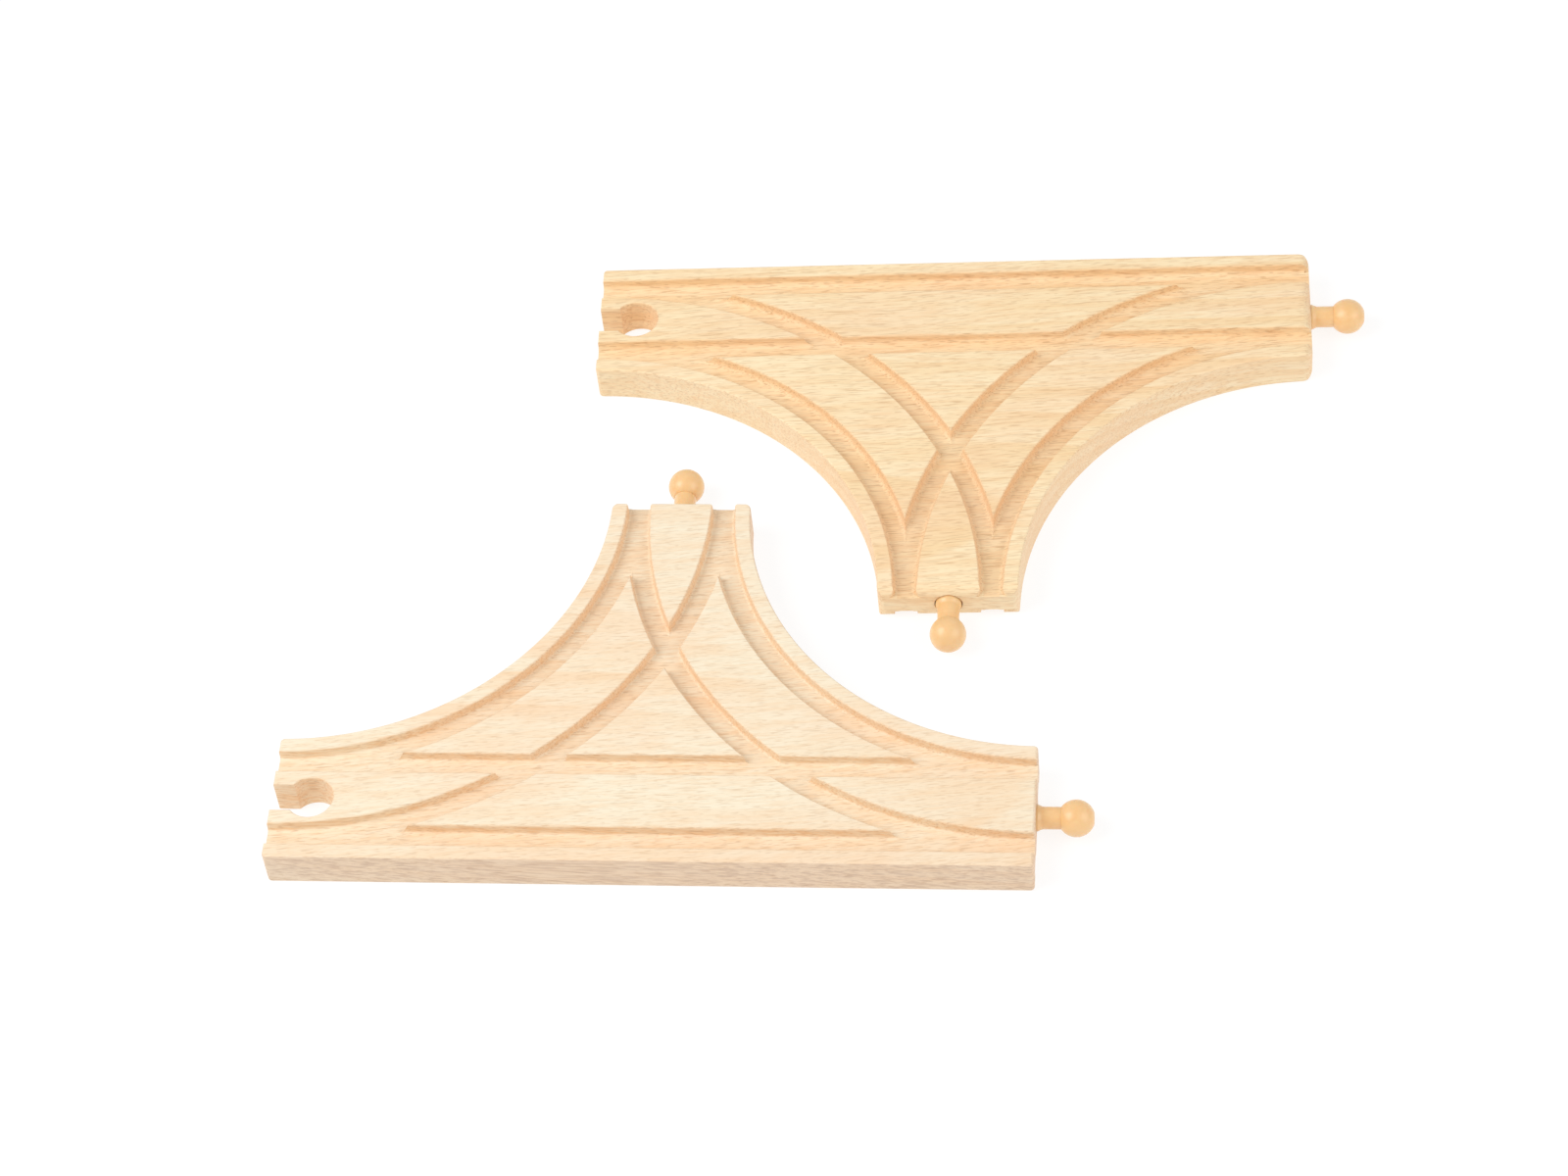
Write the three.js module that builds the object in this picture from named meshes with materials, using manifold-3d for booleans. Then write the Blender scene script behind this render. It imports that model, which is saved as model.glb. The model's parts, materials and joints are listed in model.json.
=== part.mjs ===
// Two matching T-junction tracks of a wooden toy railway, lying loose beside each other.
// Each track is one piece of beech, grooved for the wheels on both faces, with two turned pegs
// pressed into its ends and a keyhole socket at its third end.
// Units are millimetres and +Z is up. The tracks lie on Z = 0, and the origin is the middle of
// the ground that they cover.
//
// A track is modelled with its bar along X, its stem towards +Y and its socket at -X. The first
// track of the pair lies turned over, so its stem points towards -Y.

import * as THREE from 'three';
import { mergeVertices } from 'three/addons/utils/BufferGeometryUtils.js';
import Module from 'manifold-3d';

const wasm = await Module();
wasm.setup();

// ---------------------------------------------------------------- driving dimensions

const TRACK_WIDTH = 40;
const TRACK_THICKNESS = 12;
const CURVE_RADIUS = 105;         // centre line of both curves, and so half the bar and the stem
const CORNER_RADIUS = 1.5;        // in plan, at the six outer corners

const OUTER_STRIP = 4.5;          // plain wood left outside a wheel groove
const GROOVE_WIDTH = 6.6;
const GROOVE_DEPTH = 3.2;

const SOCKET_HOLE = 13;           // diameter
const SOCKET_SLOT = 8.4;          // width
const SOCKET_SETBACK = 10.8;      // from the end to the middle of the hole

const PEG_HOLE = 8;               // diameter
const PEG_HOLE_DEPTH = 15;
const PEG_GAP = 0.3;              // all round a peg in its hole
const PEG_COLLAR_PROUD = 0.6;     // how far the shank stands out of the end
const PEG_NECK = 6.2;             // diameter
const PEG_BALL = 10.3;            // diameter
const PEG_REACH = 10.8;           // from the end to the middle of the ball

const FIRST_PLACE = { x: 40, y: 88, turnedOver: true, turn: 0 };
const SECOND_PLACE = { x: -40, y: -88, turnedOver: false, turn: -1.75 };  // degrees

const FIRST_ENDS = { bar: 3, stem: 3 };       // how round the two peg ends are sanded
const SECOND_ENDS = { bar: 1, stem: 1 };

const CURVE_STEPS = 24;           // facets in a quarter turn of a curved edge or groove
const ROUND_STEPS = 4;            // facets in a small quarter round
const HOLE_STEPS = 24;            // facets around a hole
const PEG_STEPS = 16;             // facets around a peg
const OVERRUN = 4;                // how far a cutter runs past the wood

// ---------------------------------------------------------------- worked out from them

const HALF_WIDTH = TRACK_WIDTH / 2;
const EDGE_RADIUS = CURVE_RADIUS - HALF_WIDTH;         // the concave edges beside the stem
const FAR_RADIUS = CURVE_RADIUS + HALF_WIDTH;          // the same curve's other side
const MID_HEIGHT = TRACK_THICKNESS / 2;
const QUARTER = Math.PI / 2;

// ---------------------------------------------------------------- solids and cutters

function solid(geometry) {
  const bare = geometry.clone();
  bare.deleteAttribute('normal');
  bare.deleteAttribute('uv');
  const merged = mergeVertices(bare);
  return new wasm.Manifold(new wasm.Mesh({
    numProp: 3,
    vertProperties: merged.attributes.position.array,
    triVerts: Uint32Array.from(merged.index.array),
  }));
}

function geometryOf(manifold) {
  const mesh = manifold.getMesh();
  const geometry = new THREE.BufferGeometry();
  geometry.setAttribute('position', new THREE.BufferAttribute(mesh.vertProperties, 3));
  geometry.setIndex(new THREE.BufferAttribute(mesh.triVerts, 1));
  geometry.computeVertexNormals();
  return geometry;
}

function arc(x, y, radius, from, to, steps) {
  const points = [];
  for (let i = 0; i <= steps; i += 1) {
    const angle = from + (to - from) * (i / steps);
    points.push(new THREE.Vector2(x + radius * Math.cos(angle), y + radius * Math.sin(angle)));
  }
  return points;
}

function extrude(points, depth) {
  const shape = new THREE.Shape(points);
  return new THREE.ExtrudeGeometry(shape, { depth, bevelEnabled: false });
}

// ---------------------------------------------------------------- one track

// The plan of a track, anticlockwise from the socket's lower lip.
function trackOutline() {
  const end = CURVE_RADIUS;
  const inset = CORNER_RADIUS;
  const corner = (x, y, from) => arc(x, y, inset, from, from + QUARTER, ROUND_STEPS);
  const lead = Math.asin(inset / EDGE_RADIUS);
  const lip = Math.asin(SOCKET_SLOT / SOCKET_HOLE);
  const rightEdge = arc(end, end, EDGE_RADIUS, -QUARTER - lead, -2 * QUARTER + lead, CURVE_STEPS);
  const leftEdge = arc(-end, end, EDGE_RADIUS, -lead, -QUARTER + lead, CURVE_STEPS);
  const socket = arc(
    -end + SOCKET_SETBACK, 0, SOCKET_HOLE / 2, Math.PI - lip, -Math.PI + lip, HOLE_STEPS,
  );
  return [
    new THREE.Vector2(-end, -SOCKET_SLOT / 2),
    ...corner(-end + inset, -HALF_WIDTH + inset, 2 * QUARTER),
    ...corner(end - inset, -HALF_WIDTH + inset, 3 * QUARTER),
    ...corner(end - inset, HALF_WIDTH - inset, 0),
    ...rightEdge,
    ...corner(HALF_WIDTH - inset, end - inset, 0),
    ...corner(-HALF_WIDTH + inset, end - inset, QUARTER),
    ...leftEdge,
    ...corner(-end + inset, HALF_WIDTH - inset, QUARTER),
    new THREE.Vector2(-end, SOCKET_SLOT / 2),
    ...socket,
  ];
}

// The plans of the six wheel grooves of one face: two along the bar and two along each curve.
function groovePlans() {
  const plans = [];
  const run = CURVE_RADIUS + OVERRUN;
  const outer = HALF_WIDTH - OUTER_STRIP;
  const inner = outer - GROOVE_WIDTH;
  for (const side of [-1, 1]) {
    const low = Math.min(side * inner, side * outer);
    const high = low + GROOVE_WIDTH;
    plans.push([
      new THREE.Vector2(-run, low),
      new THREE.Vector2(run, low),
      new THREE.Vector2(run, high),
      new THREE.Vector2(-run, high),
    ]);
  }
  const past = OVERRUN / EDGE_RADIUS;
  for (const side of [-1, 1]) {
    const x = side * CURVE_RADIUS;
    const from = side > 0 ? 2 * QUARTER - past : 3 * QUARTER - past;
    const to = from + QUARTER + 2 * past;
    for (const near of [EDGE_RADIUS + OUTER_STRIP, FAR_RADIUS - OUTER_STRIP - GROOVE_WIDTH]) {
      plans.push([
        ...arc(x, CURVE_RADIUS, near + GROOVE_WIDTH, from, to, CURVE_STEPS),
        ...arc(x, CURVE_RADIUS, near, to, from, CURVE_STEPS),
      ]);
    }
  }
  return plans;
}

// What a face's grooves take away, for a face at the given height.
function grooveCutters(bottom) {
  return groovePlans().map((plan) => {
    const geometry = extrude(plan, GROOVE_DEPTH + OVERRUN);
    geometry.translate(0, 0, bottom);
    return solid(geometry);
  });
}

// What the sanding takes off the upper edge of a peg end that faces +X, about mid height.
function endRounding(radius) {
  const profile = [
    new THREE.Vector2(OVERRUN, MID_HEIGHT + OVERRUN),
    new THREE.Vector2(-radius, MID_HEIGHT + OVERRUN),
    ...arc(-radius, MID_HEIGHT - radius, radius, QUARTER, 0, ROUND_STEPS),
    new THREE.Vector2(OVERRUN, MID_HEIGHT - radius),
  ];
  const geometry = extrude(profile, TRACK_WIDTH + 2 * OVERRUN);
  geometry.translate(0, 0, -HALF_WIDTH - OVERRUN);
  geometry.rotateX(QUARTER);
  return geometry;
}

// What is taken off one peg end: both its edges and the drilled hole.
function pegEndCutters(radius, place) {
  const upper = endRounding(radius);
  const lower = endRounding(radius).rotateX(2 * QUARTER);
  const hole = new THREE.CylinderGeometry(
    PEG_HOLE / 2, PEG_HOLE / 2, PEG_HOLE_DEPTH + OVERRUN, HOLE_STEPS,
  );
  hole.rotateZ(QUARTER);
  hole.translate((OVERRUN - PEG_HOLE_DEPTH) / 2, 0, 0);
  return [upper, lower, hole].map((geometry) => solid(geometry.applyMatrix4(place)));
}

function barEnd() {
  return new THREE.Matrix4().makeTranslation(CURVE_RADIUS, 0, MID_HEIGHT);
}

function stemEnd() {
  const place = new THREE.Matrix4().makeTranslation(0, CURVE_RADIUS, MID_HEIGHT);
  return place.multiply(new THREE.Matrix4().makeRotationZ(QUARTER));
}

function trackGeometry(ends) {
  const blank = solid(extrude(trackOutline(), TRACK_THICKNESS));
  const cutters = [
    ...grooveCutters(TRACK_THICKNESS - GROOVE_DEPTH),
    ...grooveCutters(-OVERRUN),
    ...pegEndCutters(ends.bar, barEnd()),
    ...pegEndCutters(ends.stem, stemEnd()),
  ];
  return geometryOf(cutters.reduce((wood, cutter) => wood.subtract(cutter), blank));
}

// ---------------------------------------------------------------- one peg

// A turned peg along +X: shank, collar, neck and ball. X = 0 is the end face of its track.
function pegGeometry() {
  const shank = PEG_HOLE / 2 - PEG_GAP;
  const neck = PEG_NECK / 2;
  const ball = PEG_BALL / 2;
  const ballStart = Math.asin(neck / ball);
  const profile = [
    new THREE.Vector2(0, -PEG_HOLE_DEPTH + PEG_GAP),
    new THREE.Vector2(shank, -PEG_HOLE_DEPTH + PEG_GAP),
    new THREE.Vector2(shank, PEG_COLLAR_PROUD),
    new THREE.Vector2(neck, PEG_COLLAR_PROUD),
    ...arc(0, PEG_REACH, ball, -QUARTER + ballStart, QUARTER, 2 * ROUND_STEPS),
  ];
  profile[profile.length - 1].x = 0;
  return new THREE.LatheGeometry(profile, PEG_STEPS).rotateZ(-QUARTER);
}

// ---------------------------------------------------------------- the pair

function beech() {
  return new THREE.MeshStandardMaterial({ color: 0xf3d7ad, roughness: 0.6, metalness: 0 });
}

function lacqueredPeg() {
  return new THREE.MeshStandardMaterial({ color: 0xf0c285, roughness: 0.3, metalness: 0 });
}

function junction(name, place, ends) {
  const track = new THREE.Mesh(trackGeometry(ends), beech());
  track.name = `${name}_track`;
  const barPeg = new THREE.Mesh(pegGeometry(), lacqueredPeg());
  barPeg.name = `${name}_bar_peg`;
  barPeg.position.set(CURVE_RADIUS, 0, MID_HEIGHT);
  const stemPeg = new THREE.Mesh(pegGeometry(), lacqueredPeg());
  stemPeg.name = `${name}_stem_peg`;
  stemPeg.position.set(0, CURVE_RADIUS, MID_HEIGHT);
  stemPeg.rotation.z = QUARTER;
  const group = new THREE.Group();
  group.add(track, barPeg, stemPeg);
  group.position.set(place.x, place.y, place.turnedOver ? TRACK_THICKNESS : 0);
  group.rotation.x = place.turnedOver ? Math.PI : 0;
  group.rotation.z = THREE.MathUtils.degToRad(place.turn);
  return group;
}

const pair = new THREE.Group();
pair.add(junction('first', FIRST_PLACE, FIRST_ENDS));
pair.add(junction('second', SECOND_PLACE, SECOND_ENDS));

// Moves the pair so that the middle of its footprint is the origin.
const footprint = new THREE.Box3().setFromObject(pair, true).getCenter(new THREE.Vector3());
pair.position.set(-footprint.x, -footprint.y, 0);

const group = new THREE.Group();
group.add(pair);

export default group;
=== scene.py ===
import json
import math

import bmesh
import bpy
from bpy.props import FloatProperty, FloatVectorProperty, IntProperty, PointerProperty
from mathutils import Matrix, Vector

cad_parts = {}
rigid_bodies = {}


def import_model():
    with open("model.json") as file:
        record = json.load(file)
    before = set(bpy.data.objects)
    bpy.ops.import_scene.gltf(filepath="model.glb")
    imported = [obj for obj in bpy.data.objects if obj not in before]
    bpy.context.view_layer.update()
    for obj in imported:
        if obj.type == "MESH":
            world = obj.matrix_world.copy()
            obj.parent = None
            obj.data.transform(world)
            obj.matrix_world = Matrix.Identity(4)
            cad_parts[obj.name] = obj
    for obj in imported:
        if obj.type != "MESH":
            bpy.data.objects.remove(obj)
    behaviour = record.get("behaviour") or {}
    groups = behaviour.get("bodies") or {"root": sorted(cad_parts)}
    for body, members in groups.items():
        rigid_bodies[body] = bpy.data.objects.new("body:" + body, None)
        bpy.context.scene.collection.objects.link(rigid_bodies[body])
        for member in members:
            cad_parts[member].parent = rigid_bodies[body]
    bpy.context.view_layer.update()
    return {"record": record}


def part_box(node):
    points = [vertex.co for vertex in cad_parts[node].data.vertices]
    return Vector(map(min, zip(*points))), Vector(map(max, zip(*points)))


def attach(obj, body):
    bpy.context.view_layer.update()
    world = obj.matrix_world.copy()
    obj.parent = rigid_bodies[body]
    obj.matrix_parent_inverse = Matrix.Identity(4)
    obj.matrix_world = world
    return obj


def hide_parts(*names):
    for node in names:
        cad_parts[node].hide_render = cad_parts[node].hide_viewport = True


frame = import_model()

bl_info = {
    "name": "Toy railway junctions",
    "version": (1, 0, 0),
    "blender": (4, 5, 0),
    "location": "3D View > Sidebar > Toy railway",
    "description": "Builds two beech T-junction tracks with ball pegs and a small studio",
    "category": "Object",
}

MM = 0.001

# Lengths in metres: how near two vertices lie to be one, in a drawn shape and after the cuts, how
# near a place a vertex counts as being there, and the edge length under which a face collapses.
DOUBLED = 1e-7
MERGED = 2e-6
SAME_PLACE = 1e-6
SLIVER = 1e-6

# Steps in a rounded corner's quarter turn, and in the small rounding of a lip or an edge.
CORNER_STEPS = 8
LIP_STEPS = 4

# The two tracks of the pair, and how round each was made: the fillets of its groove floors, and
# for a peg end its upper and lower edges, its two corners in plan, and its grooves' lips.
JUNCTIONS = {
    "first": {
        "look": "warm_beech",
        "floor": 1.5 * MM,
        "bar": {"end": 3.0 * MM, "corner": 3.2 * MM, "lip": 1.2 * MM},
        "stem": {"end": 3.0 * MM, "corner": 2.4 * MM, "lip": 2.0 * MM},
    },
    "second": {
        "look": "pale_beech",
        "floor": 0.8 * MM,
        "bar": {"end": 1.0 * MM, "corner": 1.2 * MM, "lip": 0.8 * MM},
        "stem": {"end": 1.0 * MM, "corner": 2.2 * MM, "lip": 2.0 * MM},
    },
}
PEG_ENDS = ("bar", "stem")


def mount(name):
    """The position and outward axis of one of the record's flat faces."""
    found = next(m for m in frame["record"]["mounts"] if m["name"] == name)
    return Vector(found["pos_m"]), Vector(found["axis"])


def frame_half_bar():
    """Half the length of the first track's bar, which lies along X."""
    low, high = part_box("first_track")
    return (high.x - low.x) / 2


def frame_half_width():
    """Half the track's width: what the bar adds to the stem's length."""
    low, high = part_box("first_track")
    return high.y - low.y - frame_half_bar()


def frame_thickness():
    low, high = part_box("first_track")
    return high.z - low.z


def length(name, description, default, **limits):
    return FloatProperty(
        name=name, description=description, default=default, unit="LENGTH",
        subtype="DISTANCE", precision=5, **limits,
    )


def colour(name, description, default):
    return FloatVectorProperty(
        name=name, description=description, default=default, subtype="COLOR",
        size=3, min=0.0, max=1.0,
    )


class TrackShape(bpy.types.PropertyGroup):
    half_bar: length("Half bar", "Bar end to stem centre line, and the middle curves' radius",
                     frame_half_bar())
    half_width: length("Half width", "Half the width of bar and stem", frame_half_width())
    thickness: length("Thickness", "Height of the board", frame_thickness())
    outer_strip: length("Outer strip", "Plain wood outside a wheel groove", 4.5 * MM)
    groove_width: length("Groove width", "Width of a wheel groove at the face", 6.6 * MM)
    groove_depth: length("Groove depth", "Depth of a wheel groove", 3.2 * MM)
    groove_taper: length("Groove taper", "How far a groove wall leans in", 0.3 * MM)
    lip_round: length("Lip rounding", "Rounding of a groove's upper edge", 0.5 * MM)
    edge_round: length("Edge rounding", "Sanded rounding of the board's edges", 0.6 * MM)
    corner_round: length("Corner rounding", "Rounding of the socket end's corners in plan",
                         1.2 * MM)
    socket_hole: length("Socket hole", "Radius of the socket's hole", 6.5 * MM)
    socket_slot: length("Socket slot", "Half the width of the socket's slot", 4.2 * MM)
    socket_setback: length("Socket setback", "End face to the hole's middle", 10.8 * MM)
    peg_hole: length("Peg hole", "Radius of a drilled peg hole", 4.0 * MM)
    peg_hole_depth: length("Peg hole depth", "Depth of a drilled peg hole", 15.0 * MM)
    curve_steps: IntProperty(name="Curve steps", description="Facets in a quarter curve",
                             default=96, min=12)


class PegShape(bpy.types.PropertyGroup):
    shank: length("Shank", "Radius of the shank in its hole", 3.7 * MM)
    shank_length: length("Shank length", "Length of the shank inside the wood", 14.7 * MM)
    collar: length("Collar", "How far the shank stands out of the end", 0.6 * MM)
    neck: length("Neck", "Radius of the neck", 3.1 * MM)
    ball: length("Ball", "Radius of the ball", 5.15 * MM)
    reach: length("Reach", "End face to the ball's middle", 10.8 * MM)
    tip: length("Tip", "Radius of the small flat on the ball", 1.6 * MM)
    steps: IntProperty(name="Steps", description="Facets round a peg", default=64, min=12)


class BeechLook(bpy.types.PropertyGroup):
    warm_face: colour("Warm face", "Pale wood of the first track", (0.95, 0.785, 0.515))
    warm_band: colour("Warm band", "Growth bands of the first track", (0.9, 0.65, 0.36))
    pale_face: colour("Pale face", "Pale wood of the second track", (0.91, 0.81, 0.625))
    pale_band: colour("Pale band", "Growth bands of the second track", (0.9, 0.67, 0.44))
    line: colour("Line", "The fine streaks", (0.84, 0.53, 0.28))
    side_line: colour("Side line", "The fine streaks of the outer sides", (0.5, 0.33, 0.24))
    fleck: colour("Fleck", "The short dark rays", (0.5, 0.27, 0.12))
    blush: colour("Blush", "Pinkish clouds", (0.92, 0.64, 0.43))
    heart: colour("Heart", "The second track's edge that lay nearest the pith", (0.9, 0.66, 0.45))
    # Cut: partly the routed wood's own tone, partly painted shade, laid on more strongly on groove
    # walls than on floors.
    cut: colour("Cut", "Tint of wood cut by the router", (0.9, 0.55, 0.27))
    # Side: painted shade, a darker tint for the steep outer sides and rounded edges, which get
    # less light than the top.
    side: colour("Side", "Tint of the sawn outer sides", (0.72, 0.52, 0.38))
    end_grain: colour("End grain", "Tint of wood cut across the grain", (0.85, 0.58, 0.39))


class PegLook(bpy.types.PropertyGroup):
    honey: colour("Honey", "Body colour of a peg", (0.88, 0.57, 0.27))
    amber: colour("Amber", "Deeper clouds in the moulding", (0.83, 0.47, 0.18))


class StudioSettings(bpy.types.PropertyGroup):
    floor_size: length("Floor size", "Side of the pale floor", 6.0)
    distance: length("Distance", "Camera to the point that it looks at", 1.267)
    azimuth: FloatProperty(name="Azimuth", description="Camera's turn round the pair",
                           default=math.radians(7.642), unit="ROTATION", subtype="ANGLE")
    elevation: FloatProperty(name="Elevation", description="Camera's height above the floor",
                             default=math.radians(51.34), unit="ROTATION", subtype="ANGLE")
    roll: FloatProperty(name="Roll", description="Camera's turn about its own view line",
                        default=math.radians(-7.003), unit="ROTATION", subtype="ANGLE")
    lens: FloatProperty(name="Lens", description="Focal length in millimetres", default=102.6)
    aim: FloatVectorProperty(name="Aim", description="Point that the camera looks at",
                             default=(-0.0145, -0.0086, 0.006), size=3, subtype="XYZ",
                             unit="LENGTH")


# ------------------------------------------------------------------ mesh work


def spin(bm, geom, centre, axis, degrees, steps, travel=(0, 0, 0), merge=False):
    """Carries vertices, edges or faces round an axis, or straight along travel."""
    return bmesh.ops.spin(
        bm, geom=geom, cent=centre, axis=axis, dvec=travel, angle=math.radians(degrees),
        steps=steps, use_merge=merge, use_normal_flip=False, use_duplicate=False,
    )["geom_last"]


def line_to(bm, vert, point):
    end = bm.verts.new(point)
    bm.edges.new((vert, end))
    return end


def arc_to(bm, vert, centre, degrees, steps):
    """Carries one outline vertex round an arc and returns the vertex at its end."""
    last = spin(bm, [vert], centre, (0, 0, 1), degrees, steps)
    return next(item for item in last if isinstance(item, bmesh.types.BMVert))


def close_up(bm):
    """Joins doubled vertices and turns every face outwards."""
    bmesh.ops.remove_doubles(bm, verts=bm.verts, dist=DOUBLED)
    bmesh.ops.recalc_face_normals(bm, faces=bm.faces)


def make_object(bm, name, materials=()):
    """Turns a bmesh into an object of the scene."""
    mesh = bpy.data.meshes.new(name)
    bm.to_mesh(mesh)
    bm.free()
    for material in materials:
        mesh.materials.append(material)
    piece = bpy.data.objects.new(name, mesh)
    bpy.context.scene.collection.objects.link(piece)
    return piece


def new_mesh_face(points):
    """A bmesh that holds one flat face through the points."""
    bm = bmesh.new()
    bm.faces.new([bm.verts.new(point) for point in points])
    return bm


def round_corners(bm, verts, offset, segments):
    bmesh.ops.bevel(
        bm, geom=verts, offset=offset, segments=segments, profile=0.5, affect="VERTICES",
        clamp_overlap=True, material=-1,
    )


def near_vertices(bm, points):
    """The bmesh's vertices that lie on the given points."""
    return [v for v in bm.verts if any((v.co - Vector(p)).length < SAME_PLACE for p in points)]


# ------------------------------------------------------------------ the board


def lead_in(shape, corner):
    """Degrees of a side curve that a rounded corner takes up."""
    return math.degrees(math.atan2(corner, shape.half_bar - shape.half_width))


def board_blank(shape, sanding):
    """The T-shaped board with rounded edges, before its grooves, socket and peg ends."""
    end = shape.half_bar
    half = shape.half_width
    left = shape.corner_round
    right = sanding["bar"]["corner"]
    stem = sanding["stem"]["corner"]
    right_turn = 90 - lead_in(shape, right) - lead_in(shape, stem)
    left_turn = 90 - lead_in(shape, left) - lead_in(shape, stem)
    bm = bmesh.new()
    pen = start = bm.verts.new((-end + left, -half, 0))
    pen = line_to(bm, pen, (end - right, -half, 0))
    pen = arc_to(bm, pen, (end - right, -half + right, 0), 90, CORNER_STEPS)
    pen = line_to(bm, pen, (end, half - right, 0))
    pen = arc_to(bm, pen, (end - right, half - right, 0), 90, CORNER_STEPS)
    pen = arc_to(bm, pen, (end, end, 0), -right_turn, shape.curve_steps)
    pen = arc_to(bm, pen, (pen.co.x - stem, pen.co.y, 0), 90, CORNER_STEPS)
    pen = line_to(bm, pen, (-half + stem, end, 0))
    pen = arc_to(bm, pen, (-half + stem, end - stem, 0), 90, CORNER_STEPS)
    pen = arc_to(bm, pen, (-end, end, 0), -left_turn, shape.curve_steps)
    pen = arc_to(bm, pen, (pen.co.x, pen.co.y - left, 0), 90, CORNER_STEPS)
    pen = line_to(bm, pen, (-end, -half + left, 0))
    pen = arc_to(bm, pen, (-end + left, -half + left, 0), 90, CORNER_STEPS)
    bmesh.ops.weld_verts(bm, targetmap={pen: start})
    bmesh.ops.contextual_create(bm, geom=bm.edges[:])
    grown = bmesh.ops.extrude_face_region(bm, geom=bm.faces[:])["geom"]
    top = [item for item in grown if isinstance(item, bmesh.types.BMVert)]
    bmesh.ops.translate(bm, verts=top, vec=(0, 0, shape.thickness))
    close_up(bm)
    rims = [e for e in bm.edges if abs(e.verts[0].co.z - e.verts[1].co.z) < SAME_PLACE]
    bmesh.ops.bevel(
        bm, geom=rims, offset=shape.edge_round, segments=LIP_STEPS, profile=0.5, affect="EDGES",
        clamp_overlap=True, material=-1,
    )
    return bm


# How far a cutter's shoulder runs past the cut, how far it rises there, how high the cutter stands
# above the face, and how far it runs past the wood.
SHOULDER = 2.5 * MM
SHOULDER_RISE = 0.15 * MM
CUTTER_HEIGHT = 3.0 * MM
OVERRUN = 3.0 * MM


def groove_profile(shape, side, floor_round):
    """The router bit that cuts a groove into the upper (side 1) or lower (side -1) face.

    The profile lies in the XZ plane about X = 0."""
    face = shape.thickness / 2 * (1 + side)
    wide = shape.groove_width / 2
    narrow = wide - shape.groove_taper
    half = [
        (narrow, -shape.groove_depth),
        (wide, 0),
        (wide + SHOULDER, SHOULDER_RISE),
        (wide + SHOULDER, CUTTER_HEIGHT),
    ]
    around = half + [(-x, z) for x, z in reversed(half)]
    bm = new_mesh_face([(x, 0, face + side * z) for x, z in around])
    floor = [(s * narrow, 0, face - side * shape.groove_depth) for s in (-1, 1)]
    lips = [(s * wide, 0, face) for s in (-1, 1)]
    round_corners(bm, near_vertices(bm, floor), floor_round, 5)
    round_corners(bm, near_vertices(bm, lips), shape.lip_round, LIP_STEPS)
    return bm


def straight_groove(shape, profile, y):
    """A groove along the bar at the given distance from its middle."""
    bm = profile.copy()
    turn = Matrix.Rotation(math.radians(90), 3, "Z")
    bmesh.ops.rotate(bm, verts=bm.verts, cent=(0, 0, 0), matrix=turn)
    start = Vector((-shape.half_bar - OVERRUN, y, 0))
    bmesh.ops.translate(bm, verts=bm.verts, vec=start)
    travel = (2 * (shape.half_bar + OVERRUN), 0, 0)
    spin(bm, bm.verts[:] + bm.edges[:] + bm.faces[:], start, (0, 0, 1), 0, 1, travel)
    close_up(bm)
    return bm


def curved_groove(shape, profile, hand, radius):
    """A groove from the stem's end to the bar's right (hand 1) or left (hand -1) end."""
    bm = profile.copy()
    centre = Vector((hand * shape.half_bar, shape.half_bar, 0))
    start = centre - Vector((hand * radius, 0, 0))
    bmesh.ops.translate(bm, verts=bm.verts, vec=start)
    past = math.degrees(OVERRUN / radius)
    turn = Matrix.Rotation(math.radians(-hand * past), 3, "Z")
    bmesh.ops.rotate(bm, verts=bm.verts, cent=centre, matrix=turn)
    around = hand * (90 + 2 * past)
    geom = bm.verts[:] + bm.edges[:] + bm.faces[:]
    spin(bm, geom, centre, (0, 0, 1), around, shape.curve_steps)
    close_up(bm)
    return bm


def groove_middle(shape):
    """From the middle of the bar or stem to the middle of a groove."""
    return shape.half_width - shape.outer_strip - shape.groove_width / 2


def groove_cutters(shape, floor_round):
    """Both faces' grooves: two along the bar and two along each curve."""
    middle = groove_middle(shape)
    cutters = []
    for side in (-1, 1):
        profile = groove_profile(shape, side, floor_round)
        for offset in (-middle, middle):
            cutters.append(straight_groove(shape, profile, offset))
            for hand in (-1, 1):
                cutters.append(curved_groove(shape, profile, hand, shape.half_bar + offset))
        profile.free()
    return cutters


def through_profile(shape, half_width):
    """Half the outline of a cut right through the board, from its middle outwards."""
    top = shape.thickness
    wide = half_width + SHOULDER
    return [
        (wide, -CUTTER_HEIGHT),
        (wide, -SHOULDER_RISE),
        (half_width, 0),
        (half_width, top),
        (wide, top + SHOULDER_RISE),
        (wide, top + CUTTER_HEIGHT),
    ]


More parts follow.
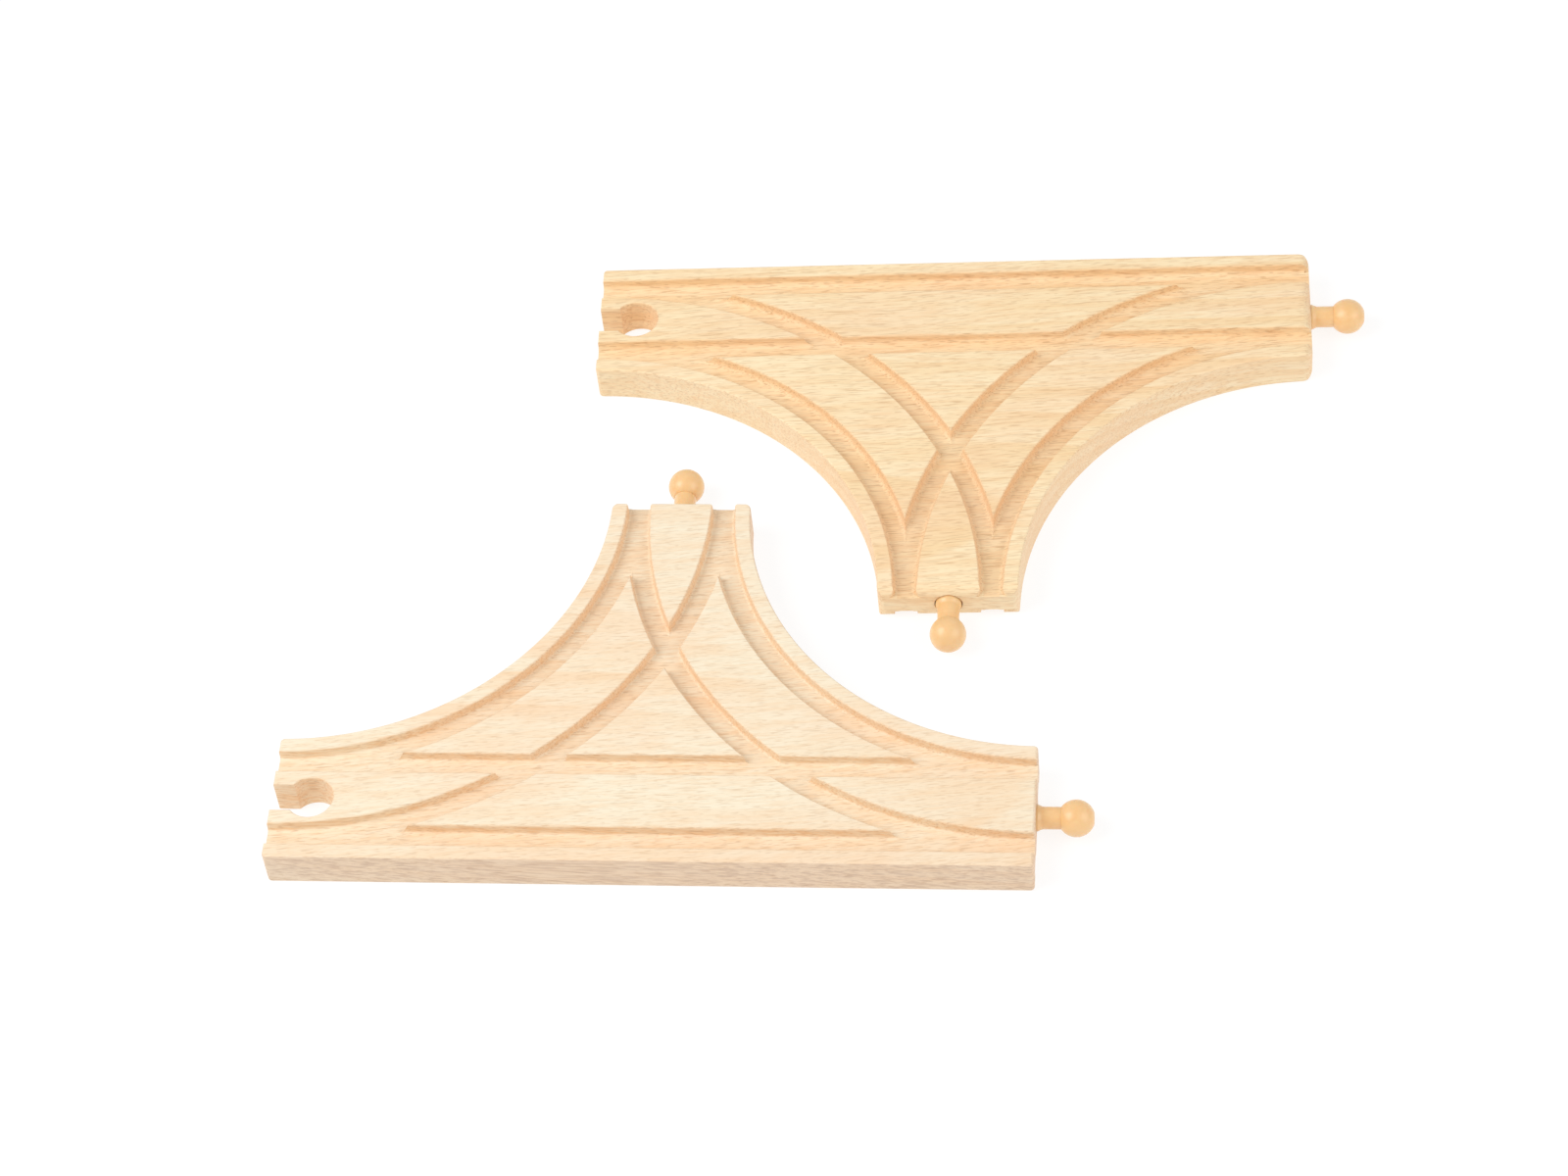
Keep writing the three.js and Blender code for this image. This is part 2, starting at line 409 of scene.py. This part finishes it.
def socket_cutters(shape):
    """The keyhole socket at the bar's left end: its round hole and its slot."""
    lip = shape.lip_round
    middle = Vector((-shape.half_bar + shape.socket_setback, 0, 0))
    half = through_profile(shape, shape.socket_hole)
    around = [(0, half[0][1]), *half, (0, half[-1][1])]
    hole = new_mesh_face([(x, 0, z) for x, z in around])
    rims = [(shape.socket_hole, 0, z) for z in (0, shape.thickness)]
    round_corners(hole, near_vertices(hole, rims), lip, LIP_STEPS)
    bmesh.ops.delete(hole, geom=hole.faces[:], context="FACES_ONLY")
    spin(hole, hole.verts[:] + hole.edges[:], (0, 0, 0), (0, 0, 1), 360, 96, merge=True)
    bmesh.ops.translate(hole, verts=hole.verts, vec=middle)
    close_up(hole)

    half = through_profile(shape, shape.socket_slot)
    around = half + [(-x, z) for x, z in reversed(half)]
    start = Vector((-shape.half_bar - OVERRUN, 0, 0))
    slot = new_mesh_face([(start.x, y, z) for y, z in around])
    rims = [(start.x, s * shape.socket_slot, z) for s in (-1, 1) for z in (0, shape.thickness)]
    round_corners(slot, near_vertices(slot, rims), lip, LIP_STEPS)
    travel = (middle.x - start.x, 0, 0)
    spin(slot, slot.verts[:] + slot.edges[:] + slot.faces[:], start, (0, 0, 1), 0, 1, travel)
    close_up(slot)
    return [hole, slot]


def end_rounding(shape, radius, side):
    """What sanding takes off a peg end's upper or lower edge; the end faces +X at X = 0."""
    middle = shape.thickness / 2
    face = middle * (1 + side)
    across = shape.half_width + OVERRUN
    bm = new_mesh_face([
        (-radius - SHOULDER, -across, face + side * SHOULDER_RISE),
        (0, -across, face),
        (SHOULDER_RISE, -across, face - side * (radius + SHOULDER)),
        (OVERRUN, -across, face - side * (radius + SHOULDER)),
        (OVERRUN, -across, face + side * CUTTER_HEIGHT),
        (-radius - SHOULDER, -across, face + side * CUTTER_HEIGHT),
    ])
    round_corners(bm, near_vertices(bm, [(0, -across, face)]), radius, 10)
    geom = bm.verts[:] + bm.edges[:] + bm.faces[:]
    spin(bm, geom, (0, 0, 0), (0, 0, 1), 0, 1, (0, 2 * across, 0))
    close_up(bm)
    return bm


def lip_flare(shape, lip, side, offset):
    """What sanding takes off the two lips of a groove where it runs out of a peg end."""
    face = shape.thickness / 2 * (1 + side)
    floor = face - side * (shape.groove_depth - 0.2 * MM)
    wide = shape.groove_width / 2 - shape.groove_taper
    half = [
        (-lip - 0.1 * MM, wide),
        (0, wide),
        (SHOULDER_RISE, wide + lip + SHOULDER),
        (OVERRUN, wide + lip + SHOULDER),
    ]
    around = half + [(x, -y) for x, y in reversed(half)]
    bm = new_mesh_face([(x, offset + y, floor) for x, y in around])
    lips = [(0, offset + s * wide, floor) for s in (-1, 1)]
    round_corners(bm, near_vertices(bm, lips), lip, 6)
    geom = bm.verts[:] + bm.edges[:] + bm.faces[:]
    travel = (0, 0, side * (shape.groove_depth + CUTTER_HEIGHT))
    spin(bm, geom, (0, 0, 0), (0, 0, 1), 0, 1, travel)
    close_up(bm)
    return bm


def peg_hole(shape):
    """The drill for a peg; the end faces +X at X = 0."""
    depth = shape.peg_hole_depth + OVERRUN
    bm = bmesh.new()
    bmesh.ops.create_cone(
        bm, cap_ends=True, segments=64, radius1=shape.peg_hole, radius2=shape.peg_hole,
        depth=depth,
    )
    turn = Matrix.Rotation(math.radians(90), 3, "Y")
    bmesh.ops.rotate(bm, verts=bm.verts, cent=(0, 0, 0), matrix=turn)
    place = (OVERRUN - depth / 2, 0, shape.thickness / 2)
    bmesh.ops.translate(bm, verts=bm.verts, vec=place)
    close_up(bm)
    return bm


def peg_end_place(shape, which):
    """Where a peg end's own frame lies on its junction: at the bar's or the stem's end."""
    if which == "bar":
        return Matrix.Translation((shape.half_bar, 0, 0))
    return Matrix.Translation((0, shape.half_bar, 0)) @ Matrix.Rotation(math.radians(90), 4, "Z")


def peg_end_cutters(shape, which, sanding):
    """The sanding cuts of a peg end and, last, the drill for its peg."""
    middle = groove_middle(shape)
    cutters = [
        lip_flare(shape, sanding["lip"], side, offset)
        for side in (-1, 1) for offset in (-middle, middle)
    ]
    cutters += [end_rounding(shape, sanding["end"], side) for side in (-1, 1)]
    cutters.append(peg_hole(shape))
    for bm in cutters:
        bmesh.ops.transform(bm, matrix=peg_end_place(shape, which), verts=bm.verts)
    return cutters


def cut(piece, bm, material_index):
    """Takes a cutter's shape out of a piece; the new walls get the given material."""
    for face in bm.faces:
        face.material_index = material_index
    tool = make_object(bm, "cutter", piece.data.materials)
    step = piece.modifiers.new("cut", "BOOLEAN")
    step.operation = "DIFFERENCE"
    step.solver = "MANIFOLD"
    step.object = tool
    apply_modifiers(piece)
    bpy.data.objects.remove(tool)


def apply_modifiers(piece):
    """Puts what the piece's modifiers make into its mesh."""
    graph = bpy.context.evaluated_depsgraph_get()
    made = bpy.data.meshes.new_from_object(piece.evaluated_get(graph), depsgraph=graph)
    piece.modifiers.clear()
    worn = piece.data
    piece.data = made
    bpy.data.meshes.remove(worn)


def drop_slivers(bm):
    """Joins doubled vertices and dissolves slivers, with many-sided faces split in between."""
    bmesh.ops.remove_doubles(bm, verts=bm.verts, dist=MERGED)
    bmesh.ops.dissolve_degenerate(bm, edges=bm.edges, dist=SLIVER)
    bmesh.ops.triangulate(bm, faces=[face for face in bm.faces if len(face.verts) > 4])
    bmesh.ops.dissolve_degenerate(bm, edges=bm.edges, dist=SLIVER)


def smooth_by_angle(piece, degrees):
    """Drops slivers, then shades smoothly but keeps an edge sharper than the angle."""
    bm = bmesh.new()
    bm.from_mesh(piece.data)
    drop_slivers(bm)
    for face in bm.faces:
        face.smooth = True
    for edge in bm.edges:
        edge.smooth = edge.is_manifold and edge.calc_face_angle(0) < math.radians(degrees)
    bm.to_mesh(piece.data)
    bm.free()
    weigh = piece.modifiers.new("flat faces lead", "WEIGHTED_NORMAL")
    weigh.keep_sharp = True
    weigh.weight = 100


def junction_place(name):
    """Where a junction lies: its bar's middle, its turn, and whether it is turned over."""
    middle, _ = mount(name + "_underside")
    _, left = mount(name + "_socket_end")
    low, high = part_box(name + "_track")
    turned_over = middle.y - low.y > high.y - middle.y
    turn = math.atan2(-left.y, -left.x)
    place = Matrix.Translation(middle) @ Matrix.Rotation(turn, 4, "Z")
    if turned_over:
        lift = Matrix.Translation((0, 0, frame_thickness()))
        place = place @ lift @ Matrix.Rotation(math.pi, 4, "X")
    return place


def make_track(name, shape, sanding):
    """One junction's board, in its place, standing in for its CAD node."""
    materials = [beech(name, sanding["look"], "face"), beech(name, sanding["look"], "cut")]
    board = make_object(board_blank(shape, sanding), "beech_" + name + "_track", materials)
    for bm in groove_cutters(shape, sanding["floor"]) + socket_cutters(shape):
        cut(board, bm, 1)
    for which in PEG_ENDS:
        *roundings, hole = peg_end_cutters(shape, which, sanding[which])
        for bm in roundings:
            cut(board, bm, 0)
        cut(board, hole, 1)
    board.data.transform(junction_place(name))
    smooth_by_angle(board, 32)
    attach(board, name + "_junction")
    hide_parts(name + "_track")


# ------------------------------------------------------------------ the pegs


def make_peg(name, which, shape, track):
    """One peg: shank, collar, neck and ball, turned about its own axis."""
    join = math.asin(shape.neck / shape.ball)
    tip = math.asin(shape.tip / shape.ball)
    bm = bmesh.new()
    inner = -shape.shank_length
    chamfer = 0.5 * MM
    pen = bm.verts.new((inner, 0, 0))
    pen = line_to(bm, pen, (inner, 0, shape.shank - chamfer))
    pen = line_to(bm, pen, (inner + chamfer, 0, shape.shank))
    step = 0.2 * MM
    pen = line_to(bm, pen, (shape.collar - step, 0, shape.shank))
    pen = line_to(bm, pen, (shape.collar, 0, shape.shank - step / 2))
    pen = line_to(bm, pen, (shape.collar + 3 * step, 0, shape.neck + step))
    pen = line_to(bm, pen, (shape.collar + 6 * step, 0, shape.neck))
    seam = shape.reach - shape.ball * math.cos(join)
    pen = line_to(bm, pen, (seam - step, 0, shape.neck))
    pen = line_to(bm, pen, (seam, 0, shape.neck - step / 2))
    pen = line_to(bm, pen, (seam, 0, shape.neck))
    last = spin(bm, [pen], (shape.reach, 0, 0), (0, 1, 0), math.degrees(math.pi - join - tip), 40)
    pen = next(item for item in last if isinstance(item, bmesh.types.BMVert))
    line_to(bm, pen, (pen.co.x, 0, 0))
    spin(bm, bm.verts[:] + bm.edges[:], (0, 0, 0), (1, 0, 0), 360, shape.steps, merge=True)
    close_up(bm)
    rise = Matrix.Translation((0, 0, track.thickness / 2))
    place = junction_place(name) @ peg_end_place(track, which) @ rise
    bmesh.ops.transform(bm, matrix=place, verts=bm.verts)
    peg = make_object(bm, "honey_" + name + "_" + which + "_peg", [honey_peg(name, which)])
    smooth_by_angle(peg, 40)
    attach(peg, name + "_junction")
    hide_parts(name + "_" + which + "_peg")


# ------------------------------------------------------------------ materials


class Wiring:
    """Adds nodes to one material and joins them up."""

    def __init__(self, name):
        self.material = bpy.data.materials.new(name)
        self.material.use_nodes = True
        self.tree = self.material.node_tree
        self.shader = self.tree.nodes["Principled BSDF"]

    def feed(self, socket, value):
        """Joins a socket to another, or sets it to a number or colour."""
        if isinstance(value, bpy.types.NodeSocket):
            self.tree.links.new(value, socket)
        elif hasattr(value, "__len__") and len(value) == 3 and socket.type == "RGBA":
            socket.default_value = (*value, 1)
        else:
            socket.default_value = value

    def node(self, kind, inputs=(), **settings):
        made = self.tree.nodes.new(kind)
        for key, value in settings.items():
            setattr(made, key, value)
        for key, value in dict(inputs).items():
            self.feed(made.inputs[key], value)
        return made

    def position(self, shift=(0, 0, 0), tilt=(0, 0, 0), scale=(1, 1, 1)):
        """Object coordinates, shifted, tilted and scaled for one pattern."""
        source = self.node("ShaderNodeTexCoord").outputs["Object"]
        return self.stretch(source, scale, shift, tilt)

    def stretch(self, vector, scale, shift=(0, 0, 0), tilt=(0, 0, 0)):
        """A pattern's own coordinates from others: shifted, tilted and scaled."""
        inputs = {"Vector": vector, "Location": shift, "Rotation": tilt, "Scale": scale}
        return self.node("ShaderNodeMapping", inputs).outputs["Vector"]

    def noise(self, vector, scale, detail=2.0, rough=0.5, warp=0.0):
        inputs = {"Vector": vector, "Scale": scale, "Detail": detail, "Roughness": rough,
                  "Distortion": warp}
        return self.node("ShaderNodeTexNoise", inputs).outputs["Fac"]

    def ramp(self, value, low, high, to_low=0.0, to_high=1.0):
        """Maps a range smoothly onto another, without going past its ends."""
        inputs = {"Value": value, "From Min": low, "From Max": high, "To Min": to_low,
                  "To Max": to_high}
        made = self.node("ShaderNodeMapRange", inputs, interpolation_type="SMOOTHSTEP")
        return made.outputs["Result"]

    def maths(self, operation, first, second=0.0):
        made = self.node("ShaderNodeMath", {0: first, 1: second}, operation=operation)
        return made.outputs["Value"]

    def mix(self, factor, first, second, blend="MIX"):
        made = self.node("ShaderNodeMix", data_type="RGBA", blend_type=blend)
        self.feed(made.inputs[0], factor)
        self.feed(made.inputs[6], first)
        self.feed(made.inputs[7], second)
        return made.outputs[2]

    def bump(self, height, strength, distance):
        inputs = {"Height": height, "Strength": strength, "Distance": distance}
        return self.node("ShaderNodeBump", inputs).outputs["Normal"]


# The pith's dip along the board, the number of growth rings in a metre, the shift that brings the
# pith to the origin, and where the heart tint starts and ends, from the pale track's near edge.
PITH_DIP = math.radians(-3)
RINGS_PER_METRE = 210.0
PITH_SHIFT = (0, -30 * MM, 60 * MM)
HEART_FROM = -5 * MM
HEART_TO = 24 * MM


def beech(name, look, surface):
    """Beech with its grain near X: growth bands, clouds, fine streaks and threads, dark rays.

    The cut surface is the wall and floor of a groove or socket, which is warmer."""
    colours = bpy.context.scene.beech_look
    warm = look == "warm_beech"
    face = colours.warm_face if warm else colours.pale_face
    band = colours.warm_band if warm else colours.pale_band
    shift = (0.013, 0.021, 0.006) if warm else (0.31, 0.117, 0.052)
    slope = math.radians(-3.0 if warm else -4.8)
    dive = math.radians(-2.5 if warm else -4.5)
    rough_cut = surface == "cut"
    w = Wiring(f"{look}_{name}_{surface}")

    # The grain wanders a little to either side as it runs along the board.
    wander = w.noise(w.position(shift, scale=(7, 16, 16)), 1.0, 1.0)
    sway = w.maths("MULTIPLY", w.maths("SUBTRACT", wander, 0.5), 0.012)
    aside = w.node("ShaderNodeCombineXYZ", {"Y": sway}).outputs["Vector"]
    place = w.node("ShaderNodeVectorMath", {0: w.position(shift, (0, dive, slope)), 1: aside})
    grain = place.outputs["Vector"]

    # Growth rings about a pith that lies well below the board, with a dip of its own.
    level = (0, PITH_DIP - dive, 0)
    at_pith = w.stretch(grain, (1, 1, 1), shift=PITH_SHIFT, tilt=level)
    parts = w.node("ShaderNodeSeparateXYZ", {"Vector": at_pith}).outputs
    square = w.maths("MULTIPLY", parts["Y"], parts["Y"])
    depth = w.maths("MULTIPLY", parts["Z"], parts["Z"])
    radius = w.maths("SQRT", w.maths("ADD", square, depth))
    ring = w.maths("FRACT", w.maths("MULTIPLY", radius, RINGS_PER_METRE))
    rise = w.ramp(ring, 0.2, 0.9)
    fall = w.ramp(ring, 0.92, 1.0)
    patches = w.ramp(w.noise(w.stretch(grain, (9, 30, 30)), 1.0, 2.0), 0.36, 0.6)
    bands = w.maths("MULTIPLY", w.maths("SUBTRACT", rise, fall), patches)

    blush = w.noise(w.stretch(grain, (16, 45, 45)), 1.0, 2.0)
    broad = w.noise(w.stretch(grain, (22, 260, 260)), 1.0, 2.0, 0.5)
    streak = w.noise(w.stretch(grain, (60, 1500, 1500)), 1.0, 2.0, 0.6)
    thread = w.noise(w.stretch(grain, (34, 620, 620)), 1.0, 1.0, 0.5)
    threads = w.ramp(w.maths("ABSOLUTE", w.maths("SUBTRACT", thread, 0.5)), 0.0, 0.035, 1.0, 0.0)
    ray = w.ramp(w.noise(w.stretch(grain, (330, 3000, 3000)), 1.0, 0.0), 0.6, 0.76)
    long_ray = w.ramp(w.noise(w.stretch(grain, (95, 2600, 2600)), 1.0, 1.0, 0.5), 0.58, 0.74)

    tone = w.mix(w.maths("MULTIPLY", bands, 0.75), face, band)
    tone = w.mix(w.ramp(blush, 0.42, 0.66, 0.0, 0.3), tone, colours.blush)
    if not warm:
        low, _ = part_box(name + "_track")
        across = w.node("ShaderNodeSeparateXYZ", {"Vector": w.position()}).outputs["Y"]
        heart = w.ramp(across, low.y + HEART_FROM, low.y + HEART_TO, 0.6, 0.0)
        tone = w.mix(heart, tone, colours.heart)
    tone = w.mix(w.ramp(broad, 0.4, 0.7, 0.0, 0.4), tone, band)

    # Walls, ends and curved sides show more of the wood's open grain than the faces do. The steep
    # faces are also darkened by the side and cut tints: partly painted shade, for the lesser light
    # that falls on them.
    normal = w.node("ShaderNodeTexCoord").outputs["Normal"]
    facing = w.node("ShaderNodeSeparateXYZ", {"Vector": normal}).outputs
    steep = w.ramp(w.maths("ABSOLUTE", facing["Z"]), 0.2, 0.98, 1.0, 0.0)
    end_grain = w.ramp(w.maths("ABSOLUTE", facing["X"]), 0.3, 0.95)

    if rough_cut:
        # The cut tint, stronger on steep walls: partly the routed wood's own tone, partly painted
        # shade of the groove walls.
        on_floor, on_wall_and_shade = (0.2, 0.36) if warm else (0.1, 0.24)
        tone = w.mix(w.ramp(steep, 0.0, 1.0, on_floor, on_wall_and_shade), tone, colours.cut)
    else:
        # Painted shade: the steep faces of the board darkened with the side tint.
        tone = w.mix(w.maths("MULTIPLY", steep, 0.12 if warm else 0.34), tone, colours.side)
    tone = w.mix(w.maths("MULTIPLY", end_grain, 0.3), tone, colours.end_grain)

    lines = w.ramp(streak, 0.42, 0.66)
    on_face = (0.4 if warm else 0.22) + (0.14 if rough_cut else 0.0)
    line_strength = w.ramp(steep, 0.0, 1.0, on_face, 0.62 if rough_cut else 0.45)
    plain = warm or rough_cut
    line = colours.line if plain else w.mix(steep, colours.line, colours.side_line)
    tone = w.mix(w.maths("MULTIPLY", lines, line_strength), tone, line)
    tone = w.mix(w.maths("MULTIPLY", threads, 0.12), tone, line)

    strength = (0.42 if warm else 0.3) + (0.12 if rough_cut else 0.0)
    dark = w.maths("MAXIMUM", w.maths("MULTIPLY", ray, strength * 0.7),
                   w.maths("MULTIPLY", long_ray, strength))
    tone = w.mix(dark, tone, colours.fleck)

    w.feed(w.shader.inputs["Base Color"], tone)
    w.feed(w.shader.inputs["Roughness"], w.ramp(streak, 0.3, 0.7, 0.52, 0.68))
    relief = w.maths("SUBTRACT", w.maths("MULTIPLY", lines, -0.3), dark)
    w.feed(w.shader.inputs["Normal"], w.bump(relief, 0.4, 0.00015))
    w.feed(w.shader.inputs["Specular IOR Level"], 0.3)
    return w.material


def honey_peg(name, which):
    """A smooth honey-coloured moulding with faint clouds and a soft gloss."""
    colours = bpy.context.scene.peg_look
    w = Wiring(f"honey_{name}_{which}")
    cloud = w.noise(w.position(), 260.0, 3.0, 0.6)
    tone = w.mix(w.ramp(cloud, 0.35, 0.7, 0.0, 0.45), colours.honey, colours.amber)
    w.feed(w.shader.inputs["Base Color"], tone)
    grain = w.noise(w.position(), 2400.0, 2.0)
    w.feed(w.shader.inputs["Roughness"], w.ramp(grain, 0.3, 0.7, 0.34, 0.44))
    w.feed(w.shader.inputs["Normal"], w.bump(grain, 0.12, 0.00003))
    w.feed(w.shader.inputs["Subsurface Weight"], 0.25)
    w.feed(w.shader.inputs["Subsurface Radius"], (1.0, 0.6, 0.3))
    w.feed(w.shader.inputs["Subsurface Scale"], 0.002)
    w.feed(w.shader.inputs["Coat Weight"], 0.5)
    w.feed(w.shader.inputs["Coat Roughness"], 0.26)
    return w.material


def floor_white():
    """The studio's plain pale floor, a lightly lit sheet."""
    w = Wiring("floor_white")
    mottle = w.noise(w.position(), 40.0, 2.0)
    w.feed(w.shader.inputs["Base Color"], w.mix(mottle, (0.22, 0.22, 0.22), (0.24, 0.24, 0.24)))
    w.feed(w.shader.inputs["Emission Color"], (1, 1, 1))
    w.feed(w.shader.inputs["Emission Strength"], 0.8)
    w.feed(w.shader.inputs["Roughness"], 0.9)
    w.feed(w.shader.inputs["Specular IOR Level"], 0.1)
    return w.material


# ------------------------------------------------------------------ studio


# How far the floor lies under the pair, so that no two faces lie in one plane.
FLOOR_GAP = 0.2 * MM


def add_floor(settings):
    bm = bmesh.new()
    bmesh.ops.create_grid(bm, x_segments=1, y_segments=1, size=settings.floor_size / 2)
    bmesh.ops.translate(bm, verts=bm.verts, vec=(0, 0, -FLOOR_GAP))
    floor = make_object(bm, "studio_floor", [floor_white()])


def add_softbox(name, azimuth, elevation, distance, size, power):
    """An area light that looks at the pair from the given direction, in degrees."""
    lamp = bpy.data.lights.new(name, "AREA")
    lamp.shape = "SQUARE"
    lamp.size = size
    lamp.energy = power
    box = bpy.data.objects.new(name, lamp)
    bpy.context.scene.collection.objects.link(box)
    turn, rise = math.radians(azimuth), math.radians(elevation)
    back = Vector((math.sin(turn) * math.cos(rise), -math.cos(turn) * math.cos(rise),
                   math.sin(rise)))
    box.location = back * distance
    box.rotation_euler = (-back).to_track_quat("-Z", "Y").to_euler()


def add_camera(settings):
    data = bpy.data.cameras.new("studio_camera")
    data.lens = settings.lens
    data.sensor_width = 36.0
    data.clip_start = 0.05
    data.clip_end = 50.0
    camera = bpy.data.objects.new("studio_camera", data)
    bpy.context.scene.collection.objects.link(camera)
    turn, rise = settings.azimuth, settings.elevation
    back = Vector((math.sin(turn) * math.cos(rise), -math.cos(turn) * math.cos(rise),
                   math.sin(rise)))
    place = Matrix.Translation(Vector(settings.aim) + back * settings.distance)
    place = place @ Matrix.Rotation(turn, 4, "Z")
    place = place @ Matrix.Rotation(math.pi / 2 - rise, 4, "X")
    place = place @ Matrix.Rotation(settings.roll, 4, "Z")
    camera.matrix_world = place
    bpy.context.scene.camera = camera


# ------------------------------------------------------------------ operators


class TOYRAIL_OT_studio(bpy.types.Operator):
    """Adds the pale floor, the soft lights and the camera"""

    bl_idname = "toyrail.studio"
    bl_label = "Add studio"

    def execute(self, context):
        settings = context.scene.studio_settings
        context.scene.view_settings.view_transform = "Standard"
        add_camera(settings)
        add_floor(settings)
        add_softbox("softbox_left", -75, 46, 1.6, 1.1, 14.4)
        add_softbox("softbox_right", 70, 32, 1.6, 1.1, 7.4)
        world = bpy.data.worlds.new("studio_sky")
        world.use_nodes = True
        sky = world.node_tree.nodes["Background"]
        sky.inputs["Color"].default_value = (1, 1, 1, 1)
        sky.inputs["Strength"].default_value = 0.605
        context.scene.world = world
        return {"FINISHED"}


class TOYRAIL_OT_tracks(bpy.types.Operator):
    """Cuts both beech junctions: board, grooves, sockets and peg ends"""

    bl_idname = "toyrail.tracks"
    bl_label = "Cut tracks"

    def execute(self, context):
        for name, sanding in JUNCTIONS.items():
            make_track(name, context.scene.track_shape, sanding)
        return {"FINISHED"}


class TOYRAIL_OT_pegs(bpy.types.Operator):
    """Turns the four ball pegs and sets them in their tracks"""

    bl_idname = "toyrail.pegs"
    bl_label = "Turn pegs"

    def execute(self, context):
        scene = context.scene
        for name in JUNCTIONS:
            for which in PEG_ENDS:
                make_peg(name, which, scene.peg_shape, scene.track_shape)
        return {"FINISHED"}


class TOYRAIL_PT_sidebar(bpy.types.Panel):
    """Lists the add-on's operators and sizes"""

    bl_idname = "TOYRAIL_PT_sidebar"
    bl_label = "Toy railway"
    bl_space_type = "VIEW_3D"
    bl_region_type = "UI"
    bl_category = "Toy railway"

    def draw(self, context):
        for operator in OPERATORS:
            self.layout.operator(operator.bl_idname)
        for key, group in SETTINGS.items():
            column = self.layout.column(heading=key.replace("_", " "))
            for field in group.__annotations__:
                column.prop(getattr(context.scene, key), field)


SETTINGS = {
    "track_shape": TrackShape,
    "peg_shape": PegShape,
    "beech_look": BeechLook,
    "peg_look": PegLook,
    "studio_settings": StudioSettings,
}
OPERATORS = (TOYRAIL_OT_studio, TOYRAIL_OT_tracks, TOYRAIL_OT_pegs)


def register():
    for item in (*SETTINGS.values(), *OPERATORS, TOYRAIL_PT_sidebar):
        bpy.utils.register_class(item)
    for key, group in SETTINGS.items():
        setattr(bpy.types.Scene, key, PointerProperty(type=group))


def unregister():
    for key in SETTINGS:
        delattr(bpy.types.Scene, key)
    for item in (TOYRAIL_PT_sidebar, *reversed(OPERATORS), *reversed(SETTINGS.values())):
        bpy.utils.unregister_class(item)


def clear_start_scene():
    """Removes the objects that Blender starts with, and leaves the frame's own."""
    for thing in list(bpy.context.scene.collection.all_objects):
        if thing.name in ("Cube", "Light", "Camera"):
            bpy.data.objects.remove(thing)


def main():
    register()
    clear_start_scene()
    bpy.ops.toyrail.studio()
    bpy.ops.toyrail.tracks()
    bpy.ops.toyrail.pegs()


if __name__ == "__main__":
    main()
